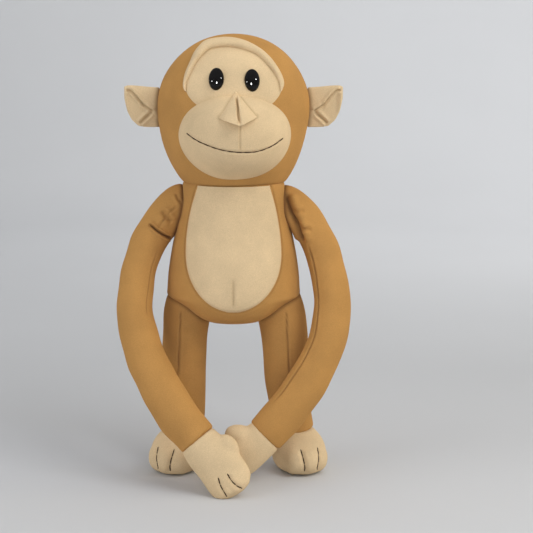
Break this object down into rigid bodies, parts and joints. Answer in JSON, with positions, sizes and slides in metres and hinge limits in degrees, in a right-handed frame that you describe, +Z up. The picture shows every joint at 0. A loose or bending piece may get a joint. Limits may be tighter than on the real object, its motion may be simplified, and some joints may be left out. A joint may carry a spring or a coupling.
{
  "type": "stuffed monkey",
  "caption": "Standing stuffed monkey with long arms crossed in front, a padded muzzle, glossy oval eyes and limbs that turn at their seams.",
  "frame": {"origin": "on the ground under the middle of the toy's box", "axes": "+Z up, the toy faces -Y, +X to the right as it is seen from the front"},
  "size_m": [0.207, 0.1558, 0.3928],
  "materials": {
    "tan_cloth": "short smooth velour, tan brown",
    "beige_cloth": "short smooth velour, pale beige",
    "fibre": "white loose polyester fibre",
    "thread": "dark brown embroidery thread",
    "eye": "polished black plastic",
    "washer": "moulded plastic lock washer"
  },
  "bodies": {
    "torso": {"torso_cover": "tan_cloth", "torso_filling": "fibre", "tummy_panel": "beige_cloth", "tummy_dart": "thread"},
    "head": {"head_cover": "tan_cloth", "head_filling": "fibre", "face_panel": "beige_cloth", "brow_roll": "beige_cloth", "muzzle_cover": "beige_cloth", "muzzle_filling": "fibre", "nose": "beige_cloth", "mouth_thread": "thread", "eye_left": "eye", "eye_right": "eye", "eye_washer_left": "washer", "eye_washer_right": "washer"},
    "arm_left": {"arm_left_cover": "tan_cloth", "arm_left_filling": "fibre", "hand_left_cover": "beige_cloth", "hand_left_filling": "fibre", "finger_thread_left": "thread"},
    "arm_right": {"arm_right_cover": "tan_cloth", "arm_right_filling": "fibre", "hand_right_cover": "beige_cloth", "hand_right_filling": "fibre"},
    "leg_left": {"leg_left_cover": "tan_cloth", "leg_left_filling": "fibre", "foot_left_cover": "beige_cloth", "foot_left_filling": "fibre", "toe_thread_left": "thread"},
    "leg_right": {"leg_right_cover": "tan_cloth", "leg_right_filling": "fibre", "foot_right_cover": "beige_cloth", "foot_right_filling": "fibre", "toe_thread_right": "thread"},
    "ear_flap_left": {"ear_left": "beige_cloth"},
    "ear_flap_right": {"ear_right": "beige_cloth"}
  },
  "joints": [
    {"name": "neck_turn", "type": "hinge", "parent": "torso", "child": "head", "pos_m": [0, 0.0175, 0.264], "axis": [0, 0, 1], "range_deg": [-60, 60]},
    {"name": "ear_fold_left", "type": "hinge", "parent": "head", "child": "ear_flap_left", "pos_m": [-0.071, 0.0175, 0.329], "axis": [0, 0, 1], "range_deg": [-30, 40], "stiffness_Nm_per_rad": 0.004},
    {"name": "ear_fold_right", "type": "hinge", "parent": "head", "child": "ear_flap_right", "pos_m": [0.071, 0.0175, 0.329], "axis": [0, 0, -1], "range_deg": [-30, 40], "stiffness_Nm_per_rad": 0.004},
    {"name": "shoulder_left", "type": "hinge", "parent": "torso", "child": "arm_left", "pos_m": [-0.062, 0.0175, 0.24], "axis": [0, 1, 0], "range_deg": [0, 95]},
    {"name": "shoulder_right", "type": "hinge", "parent": "torso", "child": "arm_right", "pos_m": [0.062, 0.0175, 0.24], "axis": [0, -1, 0], "range_deg": [0, 95]},
    {"name": "hip_left", "type": "hinge", "parent": "torso", "child": "leg_left", "pos_m": [-0.043, 0.0175, 0.126], "axis": [-1, 0, 0], "range_deg": [-60, 0]},
    {"name": "hip_right", "type": "hinge", "parent": "torso", "child": "leg_right", "pos_m": [0.043, 0.0175, 0.126], "axis": [-1, 0, 0], "range_deg": [-60, 0]}
  ]
}
